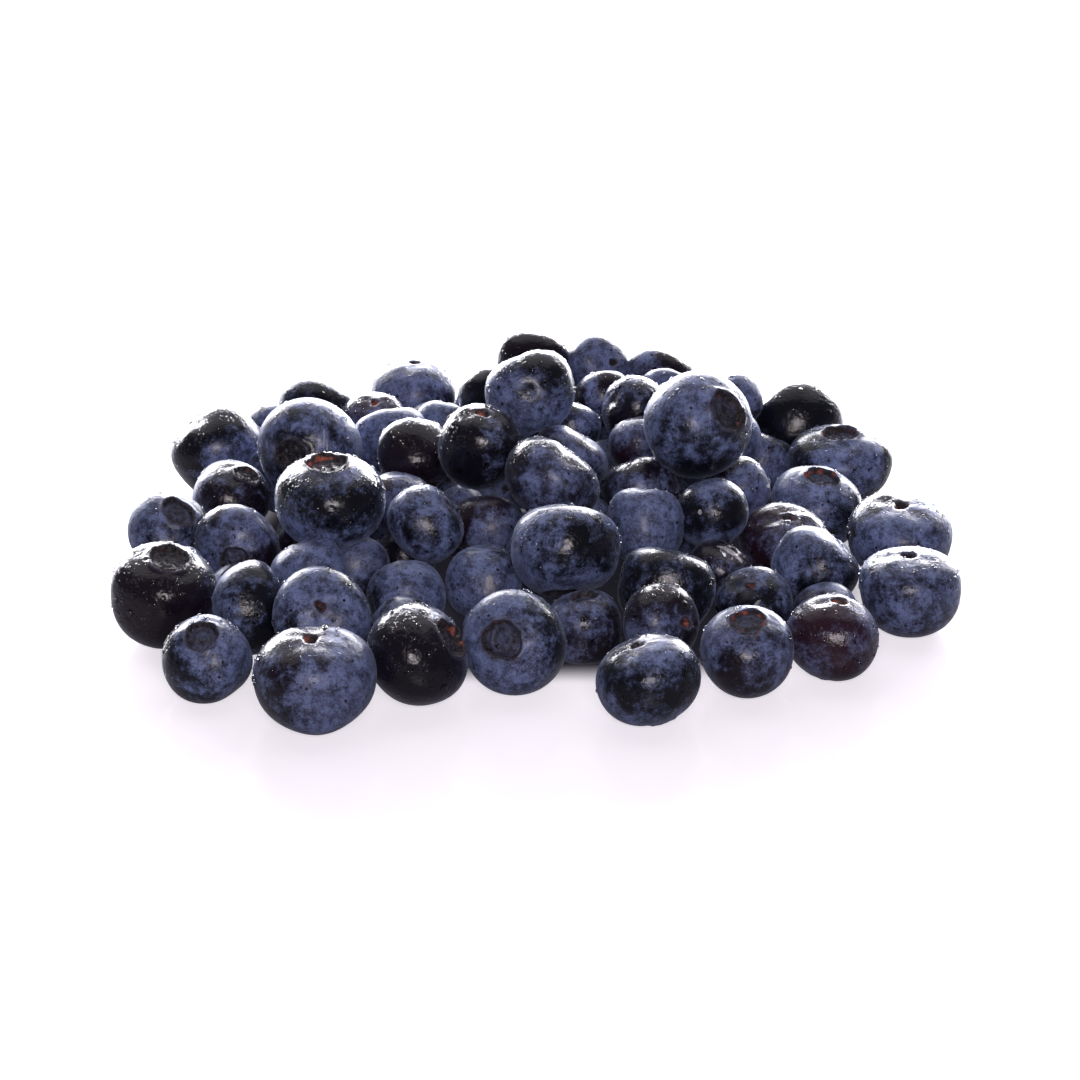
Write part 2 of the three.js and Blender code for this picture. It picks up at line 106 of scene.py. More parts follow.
# %% Table of the berries that show
BERRIES = [
    (217, 450, 16.5, 0.88, "plain", (-0.65, 0.7, 0.3), 0, 0.1, 0.6, 0, 0),
    (310, 448, 18, 0.85, "crown", (-0.36, -0.19, 0.9), 19, 0.65, 0.5, 0, 0.1),
    (331, 502, 18.5, 0.8, "crown", (-0.04, 0.88, 0.45), 18.5, 0.65, 0.9, 0, 1),
    (231, 499, 14, 0.85, "crown", (0.49, 0.71, 0.5), 0, 0.40, 0.5, 0.1, 0.3),
    (238, 547, 14.5, 0.85, "crown", (-0.05, -0.38, 0.9), 9, 0.50, 0.6, 0.1, 0.1),
    (168.5, 535, 14.5, 0.85, "crown", (0.32, 0.62, 0.7), 0, 0.85, 0.3, 0, 0.1),
    (163.5, 597, 17, 0.92, "crown", (0.16, 0.84, 0.5), 0, -0.35, 0.8, 0.1, 0.35),
    (207, 659, 14.5, 0.88, "crown", (-0.08, 0.62, 0.78), 0, 0.0, 0.6, 0, 0.1),
    (249, 609, 15.5, 0.78, "plain", (1, 0.15, -0.1), 0, 0.70, 0.2, 0, 0),
    (320, 618, 16, 0.85, "scar", (0.06, 0.3, 0.95), 0, 0.70, 0.4, 0, 0.5),
    (314, 680.5, 19, 0.8, "scar", (-0.05, 0.9, 0.42), 0, 0.55, 0.5, 0.1, 0.9),
    (416, 656, 17, 0.88, "crown", (0.8, 0.4, 0.4), 0, -0.3, 0.8, 0.05, 0.6),
    (515.5, 642, 17, 0.85, "crown", (-0.3, 0.07, 0.95), 0, 0.65, 0.5, 0, 0.4),
    (583, 627, 13, 0.9, "crown", (0, 0.92, 0.35), 0, 0.50, 0.6, 0.1, 0.15),
    (647.5, 679.5, 17, 0.82, "scar", (-0.3, 0.87, 0.39), 0, 0.65, 0.4, 0, 0.3),
    (658.5, 624, 13, 0.88, "scar", (0.78, 0.06, 0.6), 0, 0.50, 0.6, 0.1, 0.7),
    (664.5, 590, 16, 0.85, "plain", (0.25, 0.97, -0.1), 0, 0.55, 0.5, 0, 0),
    (566, 549, 18.5, 0.8, "plain", (0.1, 1, -0.2), 17, 0.45, 0.7, 0, 0),
    (484, 582, 13.5, 0.9, "plain", (0.35, 0.85, 0.3), 0, 0.50, 0.5, 0, 0),
    (407, 597, 13.5, 0.9, "plain", (-0.3, 0.9, -0.2), 0, 0.75, 0.3, 0, 0),
    (425, 524, 13.5, 0.85, "scar", (0.75, 0.6, 0.25), 18, 1.05, 0.5, 0, 0.2),
    (309, 575, 12.5, 0.9, "plain", (-0.4, 0.8, 0.2), 0, 0.60, 0.4, 0, 0),
    (352, 568, 12, 0.9, "plain", (0.2, 0.9, -0.2), 0, 0.40, 0.4, 0.1, 0),
    (400, 503, 12.5, 0.88, "plain", (0.3, 0.9, 0), 15, 0.40, 0.5, 0.1, 0),
    (489, 527, 12, 0.9, "plain", (0.2, 0.9, -0.2), 14, 0.45, 0.4, 0.2, 0),
    (551, 480, 16.5, 0.75, "plain", (0.55, 0.8, 0.1), 25, 0.1, 0.6, 0.1, 0),
    (479, 447, 14, 1.05, "scar", (0.1, 0.8, 0.55), 25, -0.25, 0.9, 0.03, 1),
    (415, 453, 13, 0.95, "plain", (-0.3, 0.9, -0.2), 22, -0.15, 0.7, 0.1, 0),
    (566, 463, 14, 0.82, "plain", (0.45, 0.85, 0), 21, 0.35, 0.5, 0.1, 0),
    (531, 393, 15.5, 0.93, "plain", (-0.3, 0.95, 0), 30, 0.50, 0.6, 0, 0),
    (533, 364, 12.5, 0.9, "plain", (0.2, 0.9, -0.2), 22, 0, 0.5, 0.1, 0),
    (595, 368, 11.5, 0.92, "scar", (0.6, 0.15, 0.78), 20, 0.65, 0.3, 0.1, 0.8),
    (659, 380, 12.5, 0.85, "plain", (0.2, 0.9, -0.2), 19, 0.45, 0.3, 0.1, 0),
    (603, 398, 10.5, 0.88, "plain", (-0.2, 0.9, -0.1), 21, 0.30, 0.4, 0.1, 0),
    (633, 409, 12, 0.9, "scar", (-0.8, 0.35, 0.5), 22, 0.45, 0.5, 0.05, 0.4),
    (695, 425, 18, 0.9, "crown", (0.65, 0.28, 0.7), 28, 0.60, 0.6, 0, 0.3),
    (731, 402, 11.5, 0.9, "plain", (-0.4, 0.9, 0.1), 18, 0.60, 0.3, 0.2, 0),
    (798, 425, 16, 0.9, "plain", (-0.5, 0.75, -0.4), 0, -0.3, 0.4, 0, 0),
    (840, 466, 18, 0.7, "crown", (0, 0.9, 0.4), 0, 0.65, 0.3, 0, 0.5),
    (817, 507, 16, 0.8, "crown", (0.1, 0.8, 0.55), 0, 0.80, 0.4, 0, 0.9),
    (898, 537, 18, 0.72, "scar", (0.05, 0.87, 0.48), 0, 0.60, 0.4, 0, 0.7),
    (909.5, 592, 16.5, 0.84, "scar", (-0.05, 0.9, 0.4), 0, 0.15, 0.6, 0.05, 0.2),
    (815, 569, 14.5, 0.85, "plain", (0.55, 0.8, 0.1), 0, 0.60, 0.4, 0, 0),
    (833, 637, 15.5, 0.88, "scar", (0.15, 0.9, 0.4), 0, 0.75, 0.5, 0.4, 0.9),
    (747, 654, 15.5, 0.9, "crown", (0, 0.76, 0.65), 0, 0.65, 0.5, 0.1, 0.8),
    (755, 604, 12.5, 0.85, "scar", (-0.2, 0.6, 0.75), 0, 0.65, 0.4, 0, 0.3),
    (718, 572, 11, 0.9, "scar", (0.5, 0.75, 0.3), 0, -0.1, 0.6, 0.1, 0.3),
    (784, 543, 15, 0.8, "scar", (0.1, 0.75, 0.6), 0, 0.55, 0.4, 0.25, 0.7),
    (710.5, 513, 12, 0.95, "plain", (-0.2, 0.95, -0.2), 17, 0.75, 0.4, 0, 0),
    (645, 527, 13, 1, "plain", (0.1, 1, -0.1), 13, 0.80, 0.4, 0, 0),
    (640, 492, 13, 0.88, "plain", (-0.3, 0.9, 0), 17, 0.40, 0.6, 0.1, 0),
    (640, 446, 11, 0.95, "plain", (-0.3, 0.9, 0), 23, 0.30, 0.5, 0.2, 0),
    (740, 488, 10.5, 0.95, "plain", (-0.3, 0.5, 0.6), 14, 0.70, 0.3, 0.1, 0),
    (733, 440, 10, 0.95, "plain", (-0.3, 0.9, 0), 17, 0.60, 0.3, 0, 0),
    (572, 428, 10, 0.9, "plain", (0.3, 0.9, 0), 23, 0.80, 0.4, 0, 0),
    (493, 398, 12.5, 0.9, "plain", (-0.3, 0.9, 0), 22, 0.50, 0.5, 0, 0),
    (415, 398, 16, 0.86, "scar", (0, 0.95, 0.3), 0, 0.55, 0.4, 0.1, 0.8),
    (316, 412, 14, 0.85, "plain", (0.2, 0.9, -0.1), 0, 0.50, 0.4, 0, 0),
    (275, 430, 10, 0.9, "plain", (0.2, 0.9, -0.1), 0, 0.60, 0.4, 0, 0),
    (374, 425, 12, 0.88, "scar", (0.05, 0.75, 0.65), 12, 0.70, 0.4, 0.3, 1),
    (393, 443, 13, 0.92, "plain", (-0.3, 0.9, -0.2), 15, 0.80, 0.4, 0, 0),
    (443, 428, 10.5, 0.9, "plain", (0.3, 0.9, -0.2), 17, 0.60, 0.5, 0, 0),
    (668, 396, 10, 0.9, "plain", (0.3, 0.9, -0.2), 20, 0.50, 0.4, 0.1, 0),
]
SHOWN = len(BERRIES)
print(SHOWN, "berries show in the photo")

# %% [markdown]
# A few berries have a hollow where a neighbour pressed on them, and on some the wax is
# left on one side only. A row names the berry by its number in the table, then the direction of
# the mark (right, up, toward the camera), then how deep and how broad the hollow is as shares of
# the berry's half width, or how much more wax that side has.

# %% Tables of hollows and of waxed sides
HOLLOWS = {
    0: (-0.6, 0.6, 0.5, 0.035, 0.12),
    1: (0.6, -0.2, 0.75, 0.03, 0.06),
    2: (0.75, 0.62, 0.2, 0.10, 0.035),
    13: (0.0, 0.95, 0.3, 0.10, 0.12),
    15: (0.75, 0.2, 0.6, 0.06, 0.05),
    25: (0.35, 0.45, 0.8, 0.10, 0.05),
    34: (-0.7, 0.3, 0.6, 0.12, 0.05),
    42: (-0.45, 0.35, 0.8, 0.05, 0.05),
    46: (0.3, 0.7, 0.6, 0.13, 0.06),
    17: (0.3, -0.2, 0.9, 0.03, 0.03),
    29: (-0.05, 0.0, 1.0, 0.09, 0.008),
    31: (0.2, 0.5, 0.8, 0.05, 0.05),
}
WAXED_SIDES = {
    0: (0.2, -0.9, 0.3, 0.45),
    2: (0.3, -0.7, 0.6, 0.25),
    4: (0.0, 0.7, 0.6, 0.3),
    7: (0.85, 0.3, 0.3, 0.55),
    10: (-0.3, 0.3, 0.8, 0.2),
    12: (-0.5, 0.2, 0.8, 0.25),
    17: (-0.2, -0.8, 0.5, 0.4),
    25: (-0.5, -0.5, 0.6, 0.25),
    35: (-0.5, 0.5, 0.6, 0.35),
    42: (0.3, -0.5, 0.7, 0.25),
    44: (0.4, 0.6, 0.5, 0.3),
}


def marks(table, plain):
    """One row of values for each berry that shows: the table's row, or the plain row."""
    rows = np.array([table.get(number, plain) for number in range(SHOWN)], float)
    toward = unit(RIGHT * rows[:, :1] + ABOVE * rows[:, 1:2] - AHEAD * rows[:, 2:3])
    return np.hstack([toward, rows[:, 3:]])


hollows = marks(HOLLOWS, (0, 0, 1, 0, 1))
waxed_sides = marks(WAXED_SIDES, (0, 0, 1, 0))
print(len(HOLLOWS), "hollows and", len(WAXED_SIDES), "waxed sides")

# %% [markdown]
# A berry is a ball flattened along its axis. Three formulas are all that laying them needs: how
# high a leaning berry stands, how far it reaches in a direction, and which pairs touch. They work
# on arrays of all berries at once. Two touching berries dent each other by SINK millimetres, and
# one on the table is pressed flat by FLAT.

# %% Formulas of a leaning, flattened ball
SINK = 0.5
FLAT = 0.25


def half_height(a, b, upright):
    """Root of a squared times (1 - upright squared) plus b squared times upright squared."""
    return np.sqrt(a * a * (1 - upright**2) + b * b * upright**2)


def touching(at, a, b, axis):
    """For each pair: the direction from one to the other, their distance, and the distance at
    which they touch, which is the sum of both reaches less the dent. A reach in direction e is
    1 / root((1 - c) / a squared + c / b squared), where c is the square of e along the axis."""
    gap = at[None] - at[:, None]
    far = np.linalg.norm(gap, axis=2)
    np.fill_diagonal(far, 1e9)
    e = gap / far[..., None]
    c = np.einsum("ijk,ik->ij", e, axis) ** 2
    reach = 1 / np.sqrt((1 - c) / a[:, None] ** 2 + c / b[:, None] ** 2)
    return e, far, reach + reach.T - SINK


# %% First places of the berries that show
half_width = np.array([row[2] for row in BERRIES], float) / 2
half_depth = half_width * np.array([row[3] for row in BERRIES])
points = np.array([row[5] for row in BERRIES], float)
axis = unit(RIGHT * points[:, :1] + ABOVE * points[:, 1:2] - AHEAD * points[:, 2:])
lift = np.array([row[6] for row in BERRIES], float)
sight = line_of_sight([row[0] for row in BERRIES], [row[1] for row in BERRIES])

height = np.where(lift > 0, lift, half_height(half_width, half_depth, axis[:, 2]) - FLAT)
at = EYE + sight * ((height - EYE[2]) / sight[:, 2])[:, None]
print("they reach from x =", round(at[:, 0].min()), "to", round(at[:, 0].max()), "mm")

# %% [markdown]
# ## Settling the heap
# Placed like this, some berries overlap and others float a little. A few hundred small steps ease
# them apart and let them sink until they rest on others. The berries that show slide along their
# own line of sight, so that they stay where the photo has them, and the hidden ones drop straight
# down. A step moves a berry by TUG, a push takes away the share EASE of an overlap and moves a
# berry off its line by the share SIDE, and HOME is the share of the way back to the line.

# %% Settling
TUG = 0.03
EASE = 0.6
SIDE = 0.5
HOME = 0.12


def settle(heap, steps, give):
    """Repeats: pull each berry along its tug, push touching pairs apart by a share of their
    overlap, bring shown berries back toward their line of sight, and keep all above the table."""
    at, a, b, axis = heap["at"], heap["a"], heap["b"], heap["axis"]
    count = len(at)
    hidden = count - SHOWN
    lines = np.vstack([sight, np.zeros((hidden, 3))])
    tug = np.vstack([sight * (lift > 0)[:, None], np.tile([0.0, 0.0, -1.0], (hidden, 1))])
    free = np.concatenate([np.full(SHOWN, give), np.ones(hidden)])[:, None]
    shown = (np.arange(count) < SHOWN)[:, None]
    low = half_height(a, b, axis[:, 2]) - FLAT
    for _ in range(steps):
        at = at + tug * TUG * free
        e, far, touch = touching(at, a, b, axis)
        deep = np.clip(touch - far, 0, None) * free / (free + free.T)
        push = -(e * deep[..., None]).sum(1) * EASE
        along = (push * lines).sum(1, keepdims=True) * lines
        at = at + np.where(shown, along + (push - along) * SIDE, push)
        arm = at - EYE
        astray = arm - (arm * lines).sum(1, keepdims=True) * lines
        at = at - np.where(shown, astray * HOME, 0)
        at[:, 2] = np.maximum(at[:, 2], low)
    heap["at"] = at


# %% [markdown]
# The hidden berries fill the heap in passes on a grid, wherever there is room and enough berries
# in front to hide them. Their sizes and leans could be random, but steps by irrational numbers
# spread them more evenly, and give the same heap each time.

# %% Hidden berries
STEPS = (0.5698402910, 0.8191725134, 0.6180339887, 0.7548776662)
MID_HEAP = np.array([-1.0, 10.0])
REACH = np.array([60.0, 61.0])
SQUARENESS = 2.7
TOP = 34.0
OVER_TOP = 6.0
GRID_REACH = 75
GRID_ROW = 0.87
HIDDEN_HIGH = 0.82
HIDDEN_HIGH_SPREAD = 0.12
LEAST_UPRIGHT = 0.5
COVER_POINTS = 24
GOLDEN_ANGLE = 2.399963
COVER_RADIUS = 0.95
COVER_GAP = 2.0


def shares(number):
    """Four values between 0 and 1: the fraction left of a half plus the number times each step."""
    return [(0.5 + (number + 1) * step) % 1 for step in STEPS]


def outward(x, y):
    """0 in the middle of the heap and 1 at its outline, which is a squarish ellipse."""
    u = abs(x - MID_HEAP[0]) / REACH[0]
    v = abs(y - MID_HEAP[1]) / REACH[1]
    return (u**SQUARENESS + v**SQUARENESS) ** (1 / SQUARENESS)


def covered(point, radius, heap):
    """The share of a round patch of points that nearer, shown berries cover in the photo."""
    k = np.arange(COVER_POINTS)
    out = np.sqrt((k + 0.5) / COVER_POINTS) * COVER_RADIUS * radius
    turn = k * GOLDEN_ANGLE
    patch = point + RIGHT * (out * np.cos(turn))[:, None] + ABOVE * (out * np.sin(turn))[:, None]
    u, v, depth = in_picture(patch)
    cu, cv, front = in_picture(heap["at"][:SHOWN])
    size = COVER_RADIUS * heap["a"][:SHOWN] * FOCUS / front
    near = (u[:, None] - cu) ** 2 + (v[:, None] - cv) ** 2 < size**2
    return (near & (front < depth[:, None] - COVER_GAP)).any(1).mean()


def fill(heap, level, grid, room, narrow, spread, cover, number):
    """Adds a pass of hidden berries at a level, at the grid points that are free and hidden."""
    half = GRID_REACH // grid
    for j in np.arange(-half, half + 1):
        for i in np.arange(-half, half + 1):
            number += 1
            width, high, tilt, turn = shares(number)
            a = (narrow + spread * width) / 2
            b = a * (HIDDEN_HIGH + HIDDEN_HIGH_SPREAD * high)
            upright = LEAST_UPRIGHT + (1 - LEAST_UPRIGHT) * tilt
            lean = math.sqrt(1 - upright * upright)
            x = MID_HEAP[0] + (i + (j % 2) / 2) * grid
            y = MID_HEAP[1] + j * grid * GRID_ROW
            z = half_height(a, b, upright) - FLAT + level
            rho = outward(x, y)
            if rho > 1 or z > TOP * math.sqrt(1 - rho * rho) + OVER_TOP:
                continue
            point = np.array([x, y, z])
            far = np.linalg.norm(heap["at"] - point, axis=1)
            if (far < (heap["a"] + a) * room).any() or covered(point, a, heap) < cover:
                continue
            turn = 2 * math.pi * turn
            heap["at"] = np.vstack([heap["at"], point])
            heap["a"] = np.append(heap["a"], a)
            heap["b"] = np.append(heap["b"], b)
            leaning = [lean * math.cos(turn), lean * math.sin(turn), upright]
            heap["axis"] = np.vstack([heap["axis"], leaning])
    return number


# %% [markdown]
# The heap has three layers. Each row holds a layer's level in millimetres, its passes, and the
# steps of settling after it with how freely the shown berries move. A pass holds the spacing of
# its grid, the room it needs, the narrowest berry, the spread of widths and the least cover.

# %% Laying the whole heap
FIRST_STEPS = 200
LAYERS = [
    (0, [(4.2, 0.9, 12, 3, 0.75), (3.2, 0.88, 10, 1.5, 0.85)], 150, 0.6),
    (8, [(4.2, 0.86, 12, 3, 0.75), (3.2, 0.86, 10, 1.5, 0.85)], 150, 0.4),
    (17, [(4.2, 0.86, 11, 2, 0.75)], 200, 0.4),
]

heap = {"at": at, "a": half_width, "b": half_depth, "axis": axis}
settle(heap, FIRST_STEPS, 1.0)
number = 0
for level, passes, steps, give in LAYERS:
    for grid, room, narrow, spread, cover in passes:
        number = fill(heap, level, grid, room, narrow, spread, cover, number)
    settle(heap, steps, give)
    print("after the layer at", level, "mm:", len(heap["a"]), "berries")

# %% The middle of the heap's box
across_axis = heap["a"][:, None] ** 2 * (1 - heap["axis"] ** 2)
along_axis = (heap["b"][:, None] * heap["axis"]) ** 2
reaches = np.sqrt(across_axis + along_axis)
corners = (heap["at"] - reaches).min(0), (heap["at"] + reaches).max(0)
shift = np.array([(corners[0][0] + corners[1][0]) / 2, (corners[0][1] + corners[1][1]) / 2, 0.0])
heap["at"] = heap["at"] - shift
eye = (EYE - shift) * MM
print(len(heap["a"]), "berries in all, moved by", np.round(shift, 2), "mm to the middle of the box")

# %% [markdown]
# ## The body of a berry
# A ripe blueberry is a little wider than it is tall, with a broad crown end and a stem end that
# dips in. It could be sculpted from a sphere, but a hundred berries call for one rule: each is a
# grid, with rows that run from the end that shows to the other end and columns that go round. The
# grid point in a direction lies at the distance of a squarish, flattened ball. Slow waves and two
# soft dents make each berry a little different. The rows lie closest round the crown and the
# scar, where the shape is finest.

# %% Rows and columns
CROWDING = 2.4
CROWN_ROWS = (0.34, 0.2)
SCAR_ROWS = (0.12, 0.14)
FINE_STEPS = 2001


def smooth(x):
    """0 below 0, 1 above 1, and x squared times (3 - 2x) between."""
    x = np.clip(x, 0, 1)
    return x * x * (3 - 2 * x)


def rows_and_columns(rows, columns, crowded):
    """Angles from the shown end and round the axis. The rows are even steps of the running sum of
    a density that is high at the crowded angle from each end."""
    fine = np.linspace(0, math.pi, FINE_STEPS)
    near_end = np.minimum(fine, math.pi - fine)
    density = 1 + CROWDING * np.exp(-(((near_end - crowded[0]) / crowded[1]) ** 2))
    total = np.concatenate([[0], np.cumsum((density[1:] + density[:-1]) / 2)])
    down = np.interp(np.linspace(0, total[-1], rows), total, fine)
    return down, np.arange(columns) * 2 * math.pi / columns


# %% [markdown]
# ## Crown and scar
# The flower leaves a crown: a ring of five short leaf tips round a sunken disc. The stem leaves
# a scar: a small round hole with a raised lip. Both could be separate pieces, but on the fruit
# they grow out of the skin, so here they lift or sink the same grid near its ends. Each function
# works on the distance from the axis, as a share of the berry's half width, and also returns how
# much of the surface there is bare flesh and how much is lip.

# %% Relief of the crown


def bell(x, middle, width):
    """1 at the middle, and e to the minus square of the distance from it over the width."""
    return np.exp(-(((x - middle) / width) ** 2))


def crown(s, turn, wide, deep, phase):
    """Five low lobes on a ragged ring round a sunken disc. A lobe is a triangle wave: 1 at each of
    five tips and 0 between them. In the disc lie two rings, a small boss and creases that run
    outward, and outside the ring the skin has five soft folds. Rings are bell curves of the
    distance from the axis, and whatever varies round it is a sum of cosines."""
    lobe = 1 - np.abs((5 * turn + phase) / math.pi % 2 - 1)
    lobe = lobe * (0.75 + 0.35 * np.cos(turn + 2 * phase) + 0.2 * np.cos(2 * turn + 5 * phase))
    ragged = 0.06 * np.cos(2 * turn + phase) + 0.04 * np.cos(3 * turn + 5 * phase)
    ragged = ragged + 0.02 * np.cos(8 * turn + 3 * phase)
    ring = wide * (0.9 + 0.07 * lobe + ragged)
    ridge = (0.016 + 0.05 * lobe) * bell(s, ring, np.where(s < ring, 0.026, 0.05))
    pit = deep * (1 - smooth((s - ring + 0.1) / 0.09))
    inside = 1 - smooth((s - ring + 0.02) / 0.03)

    t = s / wide * (1 + 0.14 * np.cos(turn + 4 * phase) + 0.05 * np.cos(4 * turn + phase))
    disc = 0.032 * bell(t, 0.6, 0.08) + 0.03 * bell(t, 0.24, 0.09) - 0.03 * bell(t, 0, 0.08)
    creases = 0.007 * np.cos(7 * turn + 6 * t + phase) + 0.008 * np.cos(4 * turn - 5 * t + 2 * phase)
    creases = creases * inside * smooth(t / 0.3)
    folds = 0.014 * np.cos(5 * turn + phase) * bell(s, ring + 0.12, 0.1)

    groove = bell(t, 0.42, 0.1)
    wall = bell(s, ring - 0.055, 0.04)
    bare = inside * np.clip(0.62 + 0.4 * wall + 0.2 * groove, 0, 1)
    lip = bell(s, ring + 0.01, 0.026) * (0.4 + 0.6 * lobe)
    return ridge - pit + disc + creases + folds, bare, lip, np.maximum(wall, 0.5 * groove)


# %% Relief of the scar


def scar(s, turn, wide, deep, phase):
    """An uneven hole with a lip round it, in the middle of a broad, shallow dip with soft folds
    that run out from it, as cosines round the axis."""
    hole_width = wide * (1 + 0.16 * np.cos(2 * turn + phase) + 0.1 * np.cos(3 * turn + 3 * phase))
    lip = bell(s, 1.2 * hole_width, 0.28 * wide) * (0.6 + 0.4 * np.cos(turn + phase))
    hole = deep * (1 - smooth((s / hole_width - 0.25) / 0.75))
    dip = 0.04 * bell(s, 0, 0.42)
    folds = 0.5 * np.cos(5 * turn + phase) + 0.5 * np.cos(3 * turn + 2 * phase)
    folds = 0.028 * folds * bell(s, 0.42, 0.2)
    bare = 1 - smooth((s / hole_width - 0.7) / 0.3)
    return 0.02 * lip + folds - hole - dip, bare, lip, 0.95 * bare


# %% [markdown]
# ## All berries as arrays
# One call shapes many berries together: every value becomes an array with a place for the berry,
# the row and the column. A berry could be given its lumps with a sculpting brush, but a sum of
# slow cosines and a few dents does it for all at once. A marked hollow is one more dent, at the
# place that its row names.

# %% Waves and dents
WAVES = 7
WAVE_TURNS = 2.0
WAVE_SIZE = 0.013
DENTS = 2
DEEPEST_DENT = 0.035
DENT_BREADTH = (0.04, 0.16)


def along(directions, arrows):
    """How far each direction of the grid points along each berry's arrow: the product of the two."""
    return np.einsum("rck,bk->brc", directions, arrows)


def dent(directions, spot, deep, broad):
    """The depth times e to the minus (1 - the cosine of the angle to the spot) over the breadth."""
    return deep * np.exp(-(1 - along(directions, spot)) / broad)


def waves_and_dents(directions, count, rng):
    """The sum of cosines of the direction along random arrows, less dents at random spots."""
    bump = 0.0
    arrows = rng.normal(0, WAVE_TURNS, (WAVES, count, 3))
    phases = rng.uniform(0, 2 * math.pi, (WAVES, count))
    for arrow, phase in zip(arrows, phases):
        bump = bump + WAVE_SIZE * np.cos(along(directions, arrow) + phase[:, None, None])
    for _ in range(DENTS):
        spot = unit(rng.normal(0, 1, (count, 3)))
        deep = rng.uniform(0.0, DEEPEST_DENT, (count, 1, 1))
        broad = rng.uniform(*DENT_BREADTH, (count, 1, 1))
        bump = bump - dent(directions, spot, deep, broad)
    return bump


# %% Both ends of each berry
CROWN_WIDE = 0.4
CROWN_SPREAD = (0.88, 1.08)
CROWN_DEEP = (0.09, 0.15)
SCAR_WIDE = 0.15
SCAR_SPREAD = (0.8, 1.25)
SCAR_DEEP = 0.8
SMALL_SCAR = 0.4


def both_ends(s, turn, crown_half, ends, rng):
    """Relief, bare flesh, lip and rust: the crown's in one half of the berry, the scar's in the
    other. A berry on its side has a small scar."""
    count = len(ends)
    wide = CROWN_WIDE * rng.uniform(*CROWN_SPREAD, (count, 1, 1))
    deep = rng.uniform(*CROWN_DEEP, (count, 1, 1))
    phase = rng.uniform(0, 2 * math.pi, (count, 1, 1))
    hole = np.where(ends == "plain", SMALL_SCAR, rng.uniform(*SCAR_SPREAD, count))
    hole = hole[:, None, None] * SCAR_WIDE
    crowned = crown(s, turn, wide, deep, phase)
    scarred = scar(s, turn, hole, SCAR_DEEP * hole, phase)
    return [np.where(crown_half, c, d) for c, d in zip(crowned, scarred)]


# %% [markdown]
# With the points come values that the skin is painted with: how much wax there is, where flesh is
# bare, where a lip is, how rusty, how wet and how red the berry is. Wax is thicker on some sides
# than on others, and in a soft halo round the crown.

# %% Values to paint with
PATCHES = 0.52
PATCH_TURNS = 1.4
FULL_TURN = 6.3
HALO = 0.3
HALO_AT = 0.58
HALO_WIDE = 0.14


def painted_values(directions, s, crown_half, masks, paint, sides, rng):
    """Wax is the berry's amount, plus a slow cosine over it, the halo and the waxed side. The
    others are a mask times the berry's value."""
    count = len(paint)
    arrow = rng.normal(0, PATCH_TURNS, (count, 3))
    patch = np.cos(along(directions, arrow) + rng.uniform(0, FULL_TURN, (count, 1, 1)))
    halo = HALO * crown_half * bell(s, HALO_AT, HALO_WIDE)
    side = sides[:, 3, None, None] * along(directions, sides[:, :3])
    wax, wet, red, rusty = paint.T[:, :, None, None]
    bare, lip, rust = masks
    whole = np.ones((count,) + directions.shape[:2])
    return {
        "wax": (wax + PATCHES * patch + halo + side) * whole,
        "bare": bare * whole,
        "lip": lip * whole,
        "rust": rust * rusty * whole,
        "wet": wet * whole,
        "red": red * whole,
    }


# %% Shaping berries
LEAST_SQUARE = 2.1
MOST_SQUARE = 2.55
TAPER = 0.05
TABLE_GAP = 0.02


def frame_of(n):
    """Two directions at right angles to each axis and to each other."""
    helper = np.where(np.abs(n[:, 2:]) < 0.9, [[0.0, 0.0, 1.0]], [[1.0, 0.0, 0.0]])
    first = unit(np.cross(helper, n))
    return first, np.cross(n, first)


def shape_berries(at, a, b, n, ends, paint, pressed, sides, rows, columns, seed):
    """Distance in a direction: ((sin / a)^p + (cos / b)^p)^(-1/p), times 1 plus waves less dents.
    Then the relief of each end is added along the axis. Points below the table are lifted to it,
    which presses a small flat spot."""
    rng = np.random.default_rng(seed)
    crowded = SCAR_ROWS if (ends == "scar").all() else CROWN_ROWS
    down, turn = rows_and_columns(rows, columns, crowded)
    ring, height = np.sin(down)[:, None], np.cos(down)[:, None]
    directions = [ring * np.cos(turn), ring * np.sin(turn), height]
    directions = np.stack(np.broadcast_arrays(*directions), -1)
    e1, e2 = frame_of(n)
    own = np.stack([e1, e2, n], 1)
    pressed_at = np.einsum("bij,bj->bi", own, pressed[:, :3])
    sides = np.hstack([np.einsum("bij,bj->bi", own, sides[:, :3]), sides[:, 3:]])

    a, b = a[:, None, None], b[:, None, None]
    square = rng.uniform(LEAST_SQUARE, MOST_SQUARE, (len(a), 1, 1))
    far = ((ring / a) ** square + (np.abs(height) / b) ** square) ** (-1 / square)
    s = far * ring / a
    bump = waves_and_dents(directions, len(a), rng)
    bump = bump - dent(directions, pressed_at, pressed[:, 3, None, None], pressed[:, 4, None, None])
    far = (far * (1 + bump))[..., None]

    crown_half = (ends == "crown")[:, None, None] == (height > 0)
    relief, *masks = both_ends(s, turn, crown_half, ends, rng)
    taper = (1 + rng.normal(TAPER, TAPER, (len(a), 1, 1)) * height)[..., None]
    e1, e2, n = e1[:, None, None], e2[:, None, None], n[:, None, None]
    across = directions[..., :1] * e1 + directions[..., 1:2] * e2
    points = at[:, None, None] + far * (across * taper + directions[..., 2:] * n)
    points = points + (relief * a * np.sign(height))[..., None] * n
    points[..., 2] = np.maximum(points[..., 2], TABLE_GAP)
    return points, painted_values(directions, s, crown_half, masks, paint, sides, rng)


# %% [markdown]
# ## From arrays to meshes
# The grid's first and last rows fall on one point each, so they become single vertices, with a
# fan of triangles round them. All berries of a kind go into one mesh, in millimetres turned to
# metres, and the painted values become attributes of its vertices.

# %% Meshes


